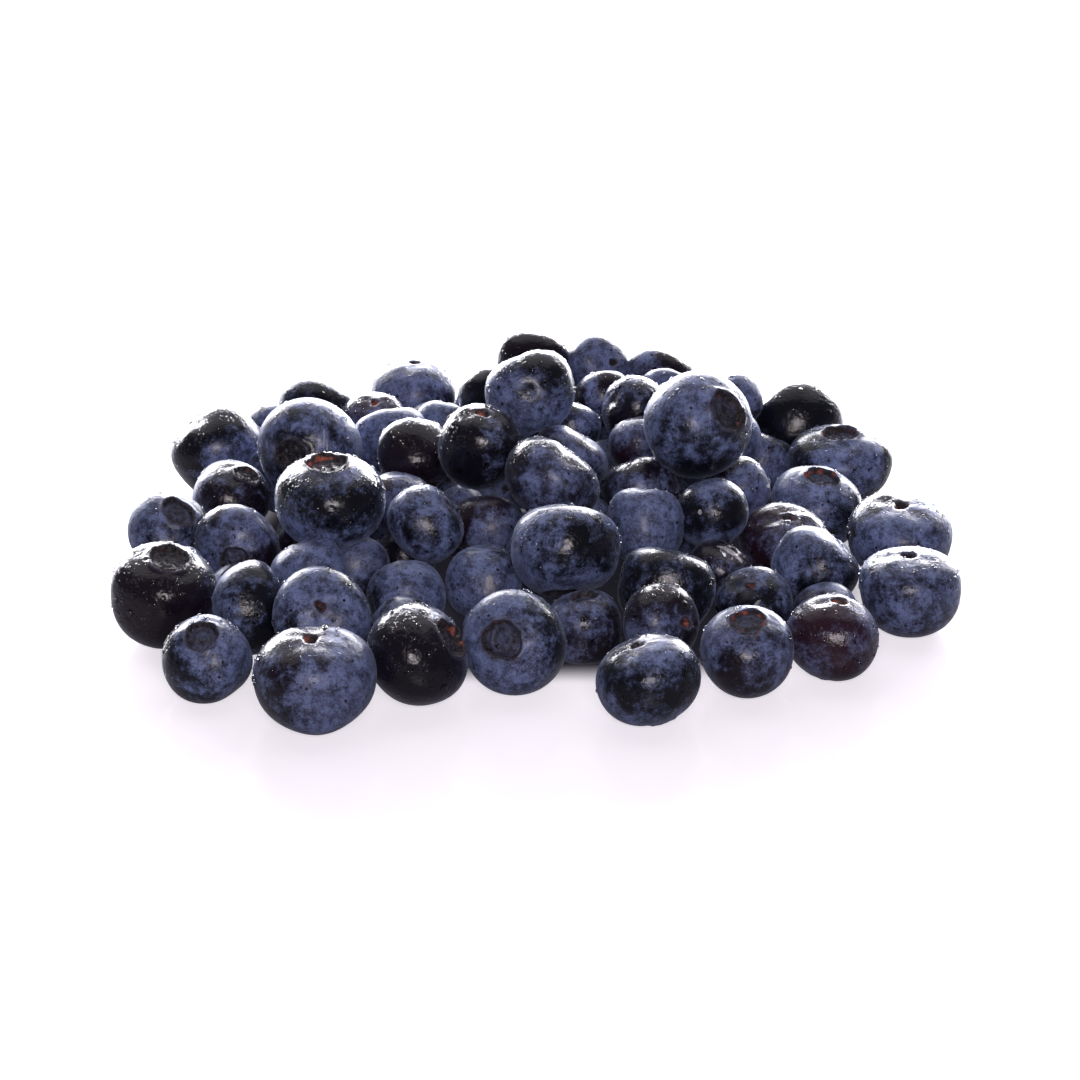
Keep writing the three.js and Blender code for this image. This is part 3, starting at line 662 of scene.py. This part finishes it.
def closed_faces(rows, columns):
    """Quads between the inner rows, and triangles from each end's vertex to the row next to it."""
    column = np.arange(columns)
    after = (column + 1) % columns
    row = 1 + np.arange(rows - 3)[:, None] * columns
    quads = [row + column, row + columns + column, row + columns + after, row + after]
    quads = np.stack(quads, -1).reshape(-1, 4)
    last = 1 + (rows - 3) * columns
    top = np.stack([0 * column, 1 + column, 1 + after], -1)
    bottom = np.stack([0 * column + last + columns, last + after, last + column], -1)
    return quads, np.vstack([top, bottom])


def closed_points(grid):
    """The grid of each body as a list: its first point, its inner rows, and its last point."""
    count, rows, columns = grid.shape[:3]
    rest = grid.shape[3:]
    inner = grid[:, 1:-1].reshape((count, (rows - 2) * columns) + rest)
    return np.concatenate([grid[:, :1, 0], inner, grid[:, -1:, 0]], 1)


def add_piece(name, grid, fields, material):
    """A smooth mesh of many closed bodies that rides on the root body and takes the material given."""
    count, rows, columns = grid.shape[:3]
    points = closed_points(grid)
    quads, triangles = closed_faces(rows, columns)
    each = points.shape[1]
    first = (np.arange(count) * each)[:, None, None]
    quads = (quads[None] + first).reshape(-1, 4)
    triangles = (triangles[None] + first).reshape(-1, 3)
    corners = np.concatenate([quads.ravel(), triangles.ravel()]).astype(np.int32)
    sizes = np.concatenate([np.full(len(quads), 4), np.full(len(triangles), 3)])
    starts = np.concatenate([[0], np.cumsum(sizes)[:-1]]).astype(np.int32)
    mesh = bpy.data.meshes.new(name)
    mesh.vertices.add(count * each)
    mesh.vertices.foreach_set("co", (points * MM).astype(np.float32).ravel())
    mesh.loops.add(len(corners))
    mesh.loops.foreach_set("vertex_index", corners)
    mesh.polygons.add(len(sizes))
    mesh.polygons.foreach_set("loop_start", starts)
    mesh.update(calc_edges=True)
    mesh.polygons.foreach_set("use_smooth", np.ones(len(sizes), bool))
    for key, grid_values in fields.items():
        layer = mesh.attributes.new(key, "FLOAT", "POINT")
        layer.data.foreach_set("value", closed_points(grid_values).astype(np.float32).ravel())
    mesh.validate()
    mesh.materials.append(material)
    piece = bpy.data.objects.new(name, mesh)
    bpy.context.scene.collection.objects.link(piece)
    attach(piece, BODY)
    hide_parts(NODE)
    print(name, count, "bodies,", 2 * len(quads) + len(triangles), "triangles")
    return piece


# %% [markdown]
# ## Nodes for the skin
# Shader nodes are placed by one small helper: it makes a node, sets its options, and fills each
# named input with a number or with another node's output.

# %% A helper for shader nodes


def put(tree, kind, inputs=None, **options):
    """A new node of that kind. Returns it, with its inputs set or linked."""
    made = tree.nodes.new("ShaderNode" + kind)
    for key, value in options.items():
        setattr(made, key, value)
    for key, value in (inputs or {}).items():
        if isinstance(value, bpy.types.NodeSocket):
            tree.links.new(value, made.inputs[key])
        else:
            made.inputs[key].default_value = value
    return made


def maths(tree, operation, first, second=0.0, third=0.0):
    """The output of a Math node with up to three inputs."""
    return put(tree, "Math", {0: first, 1: second, 2: third}, operation=operation).outputs[0]


def blend(tree, amount, first, second):
    """The output of a colour Mix node: the first colour at amount 0 and the second at 1."""
    made = put(tree, "Mix", {0: amount, 6: first, 7: second}, data_type="RGBA")
    return made.outputs[2]


def steps_between(tree, value, low, high):
    """0 below low and 1 above high, with a smooth rise between."""
    inputs = {"Value": value, "From Min": low, "From Max": high}
    return put(tree, "MapRange", inputs, interpolation_type="SMOOTHSTEP").outputs[0]


# %% Helpers for patterns


def noise(tree, where, scale, detail, rough=0.5):
    """The value of a Noise Texture: soft random clouds, smaller as the scale grows."""
    inputs = {"Vector": where, "Scale": scale, "Detail": detail, "Roughness": rough}
    return put(tree, "TexNoise", inputs).outputs[0]


def from_points(tree, where, scale):
    """The distance to the nearest point of a Voronoi Texture, where points lie at random."""
    inputs = {"Vector": where, "Scale": scale, "Randomness": 1.0}
    return put(tree, "TexVoronoi", inputs).outputs["Distance"]


def weighted(tree, parts, total=0.0):
    """The sum of each pattern times its share, on top of a first value."""
    for pattern, share in parts:
        total = maths(tree, "MULTIPLY_ADD", pattern, share, total)
    return total


# %% Helpers for node groups


def new_group(name, inputs, outputs):
    """An empty node group with named inputs and outputs. Returns it and the node of its inputs."""
    group = bpy.data.node_groups.new(name, "ShaderNodeTree")
    for key, kind in inputs:
        group.interface.new_socket(key, in_out="INPUT", socket_type="NodeSocket" + kind)
    for key, kind in outputs:
        group.interface.new_socket(key, in_out="OUTPUT", socket_type="NodeSocket" + kind)
    return group, group.nodes.new("NodeGroupInput")


def close_group(group, outputs):
    """Links the group's results to its outputs."""
    end = group.nodes.new("NodeGroupOutput")
    for key, value in outputs.items():
        group.links.new(value, end.inputs[key])


# %% [markdown]
# ## Wax bloom
# The blue of a blueberry is a coat of powdery wax over a nearly black skin. Handling and washing
# rub it off in clouds and specks. It could be painted by hand for each berry. Noise at four sizes
# does it for all: clouds some millimetres wide, blotches, mottling under a millimetre, and specks.
# A threshold that falls as the amount of wax rises turns the noise into covered and bare skin,
# and pinholes are pricked through it. The same noise, mixed otherwise, makes the wax thick or thin.

# %% Group: wax bloom
CLOUDS = 170.0
BLOTCHES = 430.0
MOTTLING = 1000.0
SPECKS = 3200.0
PINHOLES = 430.0
BARE_LEVEL = 0.63
LEVEL_PER_WAX = -0.24

wax_group, given = new_group(
    "Wax bloom", [("Vector", "Vector"), ("Amount", "Float")], [("Mask", "Float"), ("Powder", "Float")]
)
where = given.outputs["Vector"]
clouds = noise(wax_group, where, CLOUDS, 3.0, 0.6)
blotches = noise(wax_group, where, BLOTCHES, 3.0, 0.6)
mottling = noise(wax_group, where, MOTTLING, 3.0, 0.65)
specks = noise(wax_group, where, SPECKS, 1.0)
pattern = weighted(wax_group, [(clouds, 0.48), (blotches, 0.26), (mottling, 0.18), (specks, 0.08)])
level = weighted(wax_group, [(given.outputs["Amount"], LEVEL_PER_WAX)], BARE_LEVEL)
low = maths(wax_group, "SUBTRACT", level, 0.11)
high = maths(wax_group, "ADD", level, 0.10)
covered_skin = steps_between(wax_group, pattern, low, high)
unpricked = steps_between(wax_group, from_points(wax_group, where, PINHOLES), 0.07, 0.15)
mask = maths(wax_group, "MULTIPLY", covered_skin, unpricked)
powder = weighted(wax_group, [(blotches, 0.45), (mottling, 0.3), (specks, 0.25)])
close_group(wax_group, {"Mask": mask, "Powder": steps_between(wax_group, powder, 0.36, 0.66)})
print("group made:", wax_group.name)

# %% [markdown]
# ## Skin relief
# Under the wax the skin has very fine pores, grain and soft lumps, a washed berry carries tiny
# flattened droplets, and the dry flesh of crown and scar is crumbly. All of this is too small for
# the mesh, so the group puts out one height for a Bump node. The droplets are the round tops of
# cells, and lie in patches that grow with how wet the berry is.

# %% Group: skin relief
PORES = 5200.0
DROPLETS = 1500.0
GRAIN = 1700.0
LUMPS = 330.0
CRUMBS = 1250.0
WET_PATCHES = 260.0
DRY_LEVEL = 0.72
LEVEL_PER_WET = -0.3

relief_group, given = new_group(
    "Skin relief",
    [("Vector", "Vector"), ("Wet", "Float"), ("Bare", "Float")],
    [("Height", "Float"), ("Film", "Float"), ("Crumb", "Float")],
)
where = given.outputs["Vector"]
pores = noise(relief_group, where, PORES, 1.0)
grain = noise(relief_group, where, GRAIN, 1.0)
lumps = noise(relief_group, where, LUMPS, 2.0)
crumb = noise(relief_group, where, CRUMBS, 3.0, 0.6)
crumbs = maths(relief_group, "MULTIPLY", crumb, given.outputs["Bare"])
patches = noise(relief_group, where, WET_PATCHES, 2.0)
level = weighted(relief_group, [(given.outputs["Wet"], LEVEL_PER_WET)], DRY_LEVEL)
wet_patches = steps_between(relief_group, patches, level, maths(relief_group, "ADD", level, 0.12))
gaps = steps_between(relief_group, from_points(relief_group, where, DROPLETS), 0.12, 0.42)
film = maths(relief_group, "MULTIPLY", maths(relief_group, "SUBTRACT", 1.0, gaps), wet_patches)
height = weighted(relief_group, [(film, 0.3), (pores, 0.08), (grain, 0.2), (lumps, 0.5), (crumbs, 1.6)])
close_group(relief_group, {"Height": height, "Film": film, "Crumb": crumb})
print("group made:", relief_group.name)

# %% [markdown]
# ## The berry's finish
# The skin starts nearly black with a touch of blue, redder where the berry isn't quite ripe. Wax
# covers it in blue grey. In the crown and the scar the flesh is bare: dark brown, with spots of
# orange red, and the lip round it is pale. Waxed skin is dull and bare skin is glossy, and a wet
# film lies over it as a coat. A little blue sheen lightens the skin where it turns away from the
# eye, as the powder does. The finish is one material for all berries, and what differs between
# them is read from the values that the meshes carry.

# %% Colours and values of the skin
NIGHT = (0.0045, 0.005, 0.0105, 1)
PLUM = (0.060, 0.015, 0.032, 1)
WAX_DEEP = (0.026, 0.032, 0.070, 1)
WAX_PALE = (0.188, 0.242, 0.470, 1)
WAX_PURPLE = (0.085, 0.060, 0.11, 1)
BARK = (0.014, 0.010, 0.013, 1)
BARK_PALE = (0.075, 0.064, 0.080, 1)
RUST = (0.36, 0.090, 0.055, 1)
LIP_PALE = (0.14, 0.13, 0.19, 1)
SHEEN_BLUE = (0.60, 0.70, 1.0, 1)
RUST_SPOTS = 620.0

skin = bpy.data.materials.new("berry skin")
skin.use_nodes = True
tree = skin.node_tree
tree.nodes.clear()
where = put(tree, "TexCoord").outputs["Object"]
value = {}
for key in ("wax", "bare", "lip", "rust", "wet", "red"):
    value[key] = put(tree, "Attribute", attribute_name=key).outputs["Fac"]
wax_inputs = {"Vector": where, "Amount": value["wax"]}
relief_inputs = {"Vector": where, "Wet": value["wet"], "Bare": value["bare"]}
bloom = put(tree, "Group", wax_inputs, node_tree=wax_group).outputs
fine = put(tree, "Group", relief_inputs, node_tree=relief_group).outputs
print("the skin reads", len(value), "values from the meshes")

# %% Colour of the skin
dark = blend(tree, value["red"], NIGHT, PLUM)
wax_colour = blend(tree, bloom["Powder"], WAX_DEEP, WAX_PALE)
wax_colour = blend(tree, maths(tree, "MULTIPLY", value["red"], 0.7), wax_colour, WAX_PURPLE)
colour = blend(tree, bloom["Mask"], dark, wax_colour)
rusty = weighted(tree, [(value["rust"], 0.3)], noise(tree, where, RUST_SPOTS, 2.0))
bark = blend(tree, steps_between(tree, fine["Crumb"], 0.48, 0.74), BARK, BARK_PALE)
flesh = blend(tree, steps_between(tree, rusty, 0.68, 0.92), bark, RUST)
colour = blend(tree, maths(tree, "MULTIPLY", value["lip"], 0.6), colour, LIP_PALE)
colour = blend(tree, value["bare"], colour, flesh)

# %% Gloss, coat and relief of the skin
BARE_SKIN_ROUGH = 0.24
rough = [(bloom["Mask"], 0.26), (value["wet"], -0.1), (value["bare"], 0.25)]
rough = weighted(tree, rough, BARE_SKIN_ROUGH)
coat = weighted(tree, [(value["wet"], 0.45), (fine["Film"], 0.4)])
coat = maths(tree, "MULTIPLY", coat, weighted(tree, [(value["bare"], -0.7)], 1.0))
bump = put(tree, "Bump", {"Height": fine["Height"], "Strength": 1.0, "Distance": 0.0004})
surface = put(tree, "BsdfPrincipled", {
    "Base Color": colour,
    "Roughness": rough,
    "Normal": bump.outputs[0],
    "Coat Weight": coat,
    "Coat Roughness": 0.12,
    "IOR": 1.45,
    "Specular IOR Level": 0.4,
    "Coat IOR": 1.33,
    "Sheen Weight": 0.16,
    "Sheen Roughness": 0.4,
    "Sheen Tint": SHEEN_BLUE,
})
put(tree, "OutputMaterial", {"Surface": surface.outputs[0]})
print("material made:", skin.name, "with", len(tree.nodes), "nodes")

# %% [markdown]
# ## The pieces
# The berries are made in a few meshes by the end that they show, so that each mesh has the rows
# that its ends need. The hidden ones, which only peep out between the others, get a coarser grid.

# %% Berries as pieces
END_ROWS = 64
END_COLUMNS = 80
SIDE_ROWS = 48
SIDE_COLUMNS = 64
HIDDEN_ROWS = 34
HIDDEN_COLUMNS = 44

ends = np.array([row[4] for row in BERRIES])
paint = np.array([row[7:11] for row in BERRIES], float)
low_half = np.array([row[1] for row in BERRIES]) > 500
groups = {
    "crown_up_berries": ends == "crown",
    "stem_up_berries": ends == "scar",
    "side_berries_front": (ends == "plain") & low_half,
    "side_berries_back": (ends == "plain") & ~low_half,
}
wet_spots = []
for k, (name, chosen) in enumerate(groups.items()):
    pick = np.flatnonzero(chosen)
    rows, columns = (SIDE_ROWS, SIDE_COLUMNS) if ends[pick[0]] == "plain" else (END_ROWS, END_COLUMNS)
    grid, fields = shape_berries(
        heap["at"][pick], heap["a"][pick], heap["b"][pick], heap["axis"][pick],
        ends[pick], paint[pick], hollows[pick], waxed_sides[pick], rows, columns, 11 + k,
    )
    add_piece(name, grid, fields, skin)
    wet_spots.append((pick, grid, fields))

# %% Hidden berries as a piece
LEAST_PAINT = [0.4, 0.3, 0.0, 0.0]
MOST_PAINT = [0.85, 0.6, 0.15, 0.8]

rng = np.random.default_rng(5)
pick = np.arange(SHOWN, len(heap["a"]))
hidden_ends = np.where(np.arange(len(pick)) % 2 == 0, "crown", "scar")
hidden_paint = rng.uniform(LEAST_PAINT, MOST_PAINT, (len(pick), 4))
unmarked = np.tile([0.0, 0.0, 1.0, 0.0, 1.0], (len(pick), 1))
grid, fields = shape_berries(
    heap["at"][pick], heap["a"][pick], heap["b"][pick], heap["axis"][pick],
    hidden_ends, hidden_paint, unmarked, unmarked, HIDDEN_ROWS, HIDDEN_COLUMNS, 21,
)
add_piece("inner_berries", grid, fields, skin)
wet_spots.append((pick, grid, fields))

# %% [markdown]
# ## Water drops
# Washing leaves beads of water, which stand on the wax like flattened balls. They could be drawn
# as bumps, but real glassy beads catch the light as the photo shows. A bead is a small closed
# ball of few faces, pressed flat along the skin, at a grid point of a berry that faces up or to
# the front and lies free of its neighbours.

# %% Where the drops sit
BEADS = 3600
SAMPLE = 0.08
BEAD_ROWS = 5
BEAD_COLUMNS = 7
BEAD_RADIUS = 0.24
BEAD_SPREAD = 0.45
BEAD_LIMITS = (0.12, 0.8)
BEAD_TALL = (0.35, 0.6)
BEAD_LIFT = 0.08
CLEAR_OF = 1.16
HIDDEN_WET = 0.4


def facings(grid):
    """The cross product of the steps round the axis and down it. It points outward, and its
    length is the area that the grid point stands for."""
    around = np.roll(grid, -1, 2) - np.roll(grid, 1, 2)
    along = np.gradient(grid, axis=1)
    return np.cross(along, around)


def free_points(points, own):
    """True where a point lies outside every berry but its own: the sum of its squared offsets
    over the squared half widths is above a little more than 1."""
    gap = points[:, None] - heap["at"][None]
    c = np.einsum("pjk,jk->pj", gap, heap["axis"])
    square = (gap**2).sum(2) - c**2
    inside = square / heap["a"] ** 2 + c**2 / heap["b"] ** 2 < CLEAR_OF
    inside[np.arange(len(points)), own] = False
    return ~inside.any(1)


def bead_grid(points, normal, radius, tall):
    """Balls pressed along the normal: sin and cos of the row and column angles, scaled."""
    down = np.linspace(0, math.pi, BEAD_ROWS)[None, :, None, None]
    turn = (np.arange(BEAD_COLUMNS) * 2 * math.pi / BEAD_COLUMNS)[None, None, :, None]
    e1, e2 = frame_of(normal)
    r = radius[:, None, None, None]
    side = np.sin(down) * (np.cos(turn) * e1[:, None, None] + np.sin(turn) * e2[:, None, None])
    up = np.cos(down) * tall[:, None, None, None] * normal[:, None, None]
    middle = points[:, None, None] + BEAD_LIFT * r * normal[:, None, None]
    return middle + r * (side + up)


# %% Choosing the spots
rng = np.random.default_rng(8)
chosen_points, chosen_normals, chosen_wet = [], [], []
for pick, grid, fields in wet_spots:
    normal = facings(grid)[:, 2:-2].reshape(-1, 3)
    area = np.linalg.norm(normal, axis=1)
    normal = normal / area[:, None]
    points = grid[:, 2:-2].reshape(-1, 3)
    own = np.repeat(pick, grid[:, 2:-2, :, 0].size // len(pick))
    wetness = fields["wet"][:, 2:-2].reshape(-1) * (1 if pick[0] < SHOWN else HIDDEN_WET)
    keep = rng.random(len(points)) < SAMPLE * area / area.mean()
    points, normal, own, wetness = points[keep], normal[keep], own[keep], wetness[keep]
    turned_to_view = (normal @ -AHEAD > -0.1) | (normal[:, 2] > 0.3)
    good = (normal[:, 2] > -0.25) & turned_to_view & free_points(points, own)
    chosen_points.append(points[good])
    chosen_normals.append(normal[good])
    chosen_wet.append(wetness[good])

# %% The beads
spots = np.vstack(chosen_points)
normal = np.vstack(chosen_normals)
odds = np.concatenate(chosen_wet) ** 1.5 * (0.8 + np.clip(normal[:, 2], 0, 1))
pick = rng.choice(len(spots), min(BEADS, len(spots)), replace=False, p=odds / odds.sum())
radius = np.clip(rng.lognormal(math.log(BEAD_RADIUS), BEAD_SPREAD, len(pick)), *BEAD_LIMITS)
tall = rng.uniform(*BEAD_TALL, len(pick))
beads = bead_grid(spots[pick], normal[pick], radius, tall)
print(len(pick), "beads, from", round(radius.min(), 2), "to", round(radius.max(), 2), "mm in radius")

# %% [markdown]
# Some drops are large enough to be seen one by one: a tall one that hangs between two berries,
# and thin runs of water on the shoulders of others. A row holds the drop's place in the photo,
# across and down in pixels, its width, height and thickness in millimetres, and how far it leans
# from upright in degrees. Each is laid where its line of sight meets the first berry. It follows
# the curve of the skin, which falls away by the square of the offset over twice the berry's half
# width.

# %% Larger drops and runs of water
RUNS = [
    (489, 586, 2.1, 3.8, 0.8, 4),
    (221, 441, 0.5, 4.6, 0.22, -38),
    (324, 438, 0.45, 3.6, 0.22, 2),
    (327, 446, 0.4, 2.4, 0.2, -4),
    (377, 541, 1.7, 1.7, 0.7, 0),
    (913, 590, 2.4, 2.0, 0.8, 20),
    (374, 478, 1.1, 3.2, 0.35, 62),
    (567, 542, 0.9, 0.8, 0.25, 30),
    (314, 683, 1.2, 0.9, 0.25, 20),
    (408, 650, 1.1, 1.1, 0.3, 0),
    (700, 512, 0.7, 0.9, 0.3, 0),
    (768, 486, 0.8, 0.6, 0.3, 0),
    (731, 552, 0.8, 5.2, 0.3, -54),
    (598, 602, 0.5, 2.8, 0.2, 80),
    (757, 604, 0.7, 1.8, 0.3, 40),
]
RUN_ROWS = 17
RUN_COLUMNS = 16
RUN_TAPER = 0.2
RUN_LIFT = 0.2


def first_berry(sight):
    """The nearest root of the quadratic for a line and a flattened ball, over all berries."""
    a, b, n = heap["a"], heap["b"], heap["axis"]
    arm = (EYE - shift) - heap["at"]

    def product(u, v):
        across, along = (u * v).sum(-1), (u * n).sum(-1) * (v * n).sum(-1)
        return (across - along) / a**2 + along / b**2

    two, one, none = product(sight, sight), product(sight, arm), product(arm, arm) - 1
    root = one**2 - two * none
    far = np.where(root > 0, (-one - np.sqrt(np.maximum(root, 0))) / two, np.inf)
    number = int(np.argmin(far))
    point = (EYE - shift) + sight * far[number]
    arm = point - heap["at"][number]
    along = (arm @ n[number]) * n[number]
    return point, unit((arm - along) / a[number] ** 2 + along / b[number] ** 2), a[number]


def run_grid(across, down, wide, tall, thick, lean):
    """A flattened ball over the skin, with its long side leaning from the picture's upright."""
    point, normal, half = first_berry(line_of_sight(across, down))
    lean = math.radians(lean)
    long = ABOVE * math.cos(lean) + RIGHT * math.sin(lean)
    long = unit(long - (long @ normal) * normal)
    short = np.cross(normal, long)
    tilt = np.linspace(0, math.pi, RUN_ROWS)[:, None]
    turn = np.arange(RUN_COLUMNS)[None] * 2 * math.pi / RUN_COLUMNS
    u = np.cos(tilt) * tall / 2 + 0 * turn
    v = np.sin(tilt) * np.cos(turn) * wide / 2 * (1 - RUN_TAPER * np.cos(tilt))
    w = np.sin(tilt) * np.sin(turn) * thick - (u**2 + v**2) / (2 * half) + RUN_LIFT * thick
    return point + u[..., None] * long + v[..., None] * short + w[..., None] * normal


runs = np.stack([run_grid(*row) for row in RUNS])
print(len(runs), "larger drops and runs")

# %% [markdown]
# Water is clear glass with the index of refraction of water, and slow ripples break its glints.
# In the photo the large drops shine brighter than clear water lit by these few lamps would, so
# their water passes less of the light straight through, and its near-white colour scatters the
# rest as a painted highlight.

# %% Material: water
WATER_IOR = 1.333


def water_material(name, colour, rough, clear, ripple_scale, detail, strength, deep):
    """Water of that colour and roughness that passes a share of the light, with noise as ripples."""
    made = bpy.data.materials.new(name)
    made.use_nodes = True
    tree = made.node_tree
    surface = tree.nodes["Principled BSDF"]
    surface.inputs["Base Color"].default_value = colour
    surface.inputs["Roughness"].default_value = rough
    surface.inputs["IOR"].default_value = WATER_IOR
    surface.inputs["Transmission Weight"].default_value = clear
    ripple = noise(tree, put(tree, "TexCoord").outputs["Object"], ripple_scale, detail)
    rippled = put(tree, "Bump", {"Height": ripple, "Strength": strength, "Distance": deep})
    tree.links.new(rippled.outputs[0], surface.inputs["Normal"])
    return made


water = water_material("water", (1, 1, 1, 1), 0.02, 1.0, 900.0, 1.0, 0.2, 0.0001)
add_piece("water_beads", beads, {}, water)
# The near-white colour of the large drops and runs is a painted highlight
water_painted_highlight = water_material("water with painted highlight", (0.95, 0.93, 1.0, 1), 0.06, 0.68, 800.0, 2.0, 1.0, 0.0012)
add_piece("water_runs", runs, {}, water_painted_highlight)

# %% [markdown]
# ## The table
# The berries lie on a white, slightly glossy table. In the photo it is so bright that it is plain
# white in most places, yet it throws little light on the fronts of the berries. So the eye sees
# a bright table that glows a little, while the berries are lit by a dim one: the Light Path node
# tells the two apart. Under the heap the table's colour and glow are painted dark, a painted shadow
# where no light gets, which fades out at the heap's edge. The sum of the cubes of the offsets over
# the heap's sides tells where that is.

# %% The table
TABLE_SIZE = 8
HEAP_SIDES = (0.057, 0.0455)
HEAP_EDGE = (0.55, 1.0)
TABLE_DIM = (0.32, 0.31, 0.33, 1)
TABLE_BRIGHT = (0.62, 0.60, 0.64, 1)
# The colour and glow under the heap are a painted shadow
TABLE_PAINTED_SHADOW = (0.036, 0.035, 0.046, 1)
GLOW_PAINTED_SHADOW = (0.014, 0.0135, 0.020, 1)
GLOW_DIM = (0.07, 0.065, 0.075, 1)
GLOW_BRIGHT = (0.98, 0.93, 1.0, 1)

bpy.ops.mesh.primitive_plane_add(size=TABLE_SIZE, location=(0, 0, 0))
table = bpy.context.object
table.name = "table"
white = bpy.data.materials.new("white table")
white.use_nodes = True
tree = white.node_tree
surface = tree.nodes["Principled BSDF"]
surface.inputs["Roughness"].default_value = 0.2
surface.inputs["Specular IOR Level"].default_value = 0.35
surface.inputs["Emission Strength"].default_value = 0.67
seen = put(tree, "LightPath").outputs["Is Camera Ray"]
where = put(tree, "SeparateXYZ", {0: put(tree, "TexCoord").outputs["Object"]}).outputs
reach = []
for k, side in enumerate(HEAP_SIDES):
    share = maths(tree, "ABSOLUTE", maths(tree, "DIVIDE", where[k], side))
    reach.append(maths(tree, "POWER", share, 3.0))
outside = steps_between(tree, maths(tree, "ADD", reach[0], reach[1]), *HEAP_EDGE)
# Under the heap the colour and the glow fade to a painted shadow
open_white = blend(tree, outside, TABLE_PAINTED_SHADOW, TABLE_BRIGHT)
tree.links.new(blend(tree, seen, TABLE_DIM, open_white), surface.inputs["Base Color"])
glow = blend(tree, outside, GLOW_PAINTED_SHADOW, blend(tree, seen, GLOW_DIM, GLOW_BRIGHT))
tree.links.new(glow, surface.inputs["Emission Color"])
table.data.materials.append(white)
print("the table is", TABLE_SIZE, "m wide")

# %% [markdown]
# ## Light
# The light comes from behind. A wide, low panel there draws the thin bright edge on top of each
# berry, a weaker one above it lights their shoulders, and a small one beside the camera is the
# window that each berry mirrors as a pinkish spot. A faint grey world fills the darkest places.

# %% Lights
WARM_WHITE = (1.0, 0.96, 1.0)
COOL_WHITE = (0.97, 0.955, 1.0)
PINKISH = (1.0, 0.9, 0.92)
WORLD_WHITE = (0.97, 0.95, 1.0, 1)
WORLD_STRENGTH = 0.09


def panel(name, place, target, wide, high, watts, tint):
    """An area light of that size, in metres, turned from its place to the target."""
    light = bpy.data.lights.new(name, "AREA")
    light.shape = "RECTANGLE"
    light.size = wide
    light.size_y = high
    light.energy = watts
    light.color = tint
    lamp = bpy.data.objects.new(name, light)
    lamp.location = place
    toward = Vector(target) - Vector(place)
    lamp.rotation_euler = toward.to_track_quat("-Z", "Y").to_euler()
    bpy.context.scene.collection.objects.link(lamp)
    print(name, "of", watts, "W")


panel("back panel", (0, 0.9, 0.20), (0, 0, 0.02), 1.5, 0.36, 37.0, COOL_WHITE)
panel("upper back panel", (0, 0.45, 0.76), (0, 0, 0.02), 1.6, 1.0, 4.0, WARM_WHITE)
panel("window", (0.03, -0.72, 0.40), (0, 0, 0.01), 0.26, 0.2, 2.9, PINKISH)

world = bpy.data.worlds.new("studio")
bpy.context.scene.world = world
world.use_nodes = True
background = world.node_tree.nodes["Background"]
background.inputs["Color"].default_value = WORLD_WHITE
background.inputs["Strength"].default_value = WORLD_STRENGTH

# %% [markdown]
# ## The camera
# It stands where the lines of sight of the first cells start, and looks down by the same angle.
# Its lens, in millimetres on a sensor 36 mm wide, is the focus in pixels over the picture's width
# times 36.

# %% The camera
SENSOR = 36

camera_data = bpy.data.cameras.new("camera")
camera_data.sensor_width = SENSOR
camera_data.lens = FOCUS / PICTURE * SENSOR
camera = bpy.data.objects.new("camera", camera_data)
camera.location = eye
camera.rotation_euler = (math.pi / 2 - PITCH, 0, 0)
bpy.context.scene.collection.objects.link(camera)
bpy.context.scene.camera = camera
bpy.context.scene.view_settings.view_transform = "Standard"
print("lens", round(camera_data.lens, 1), "mm")
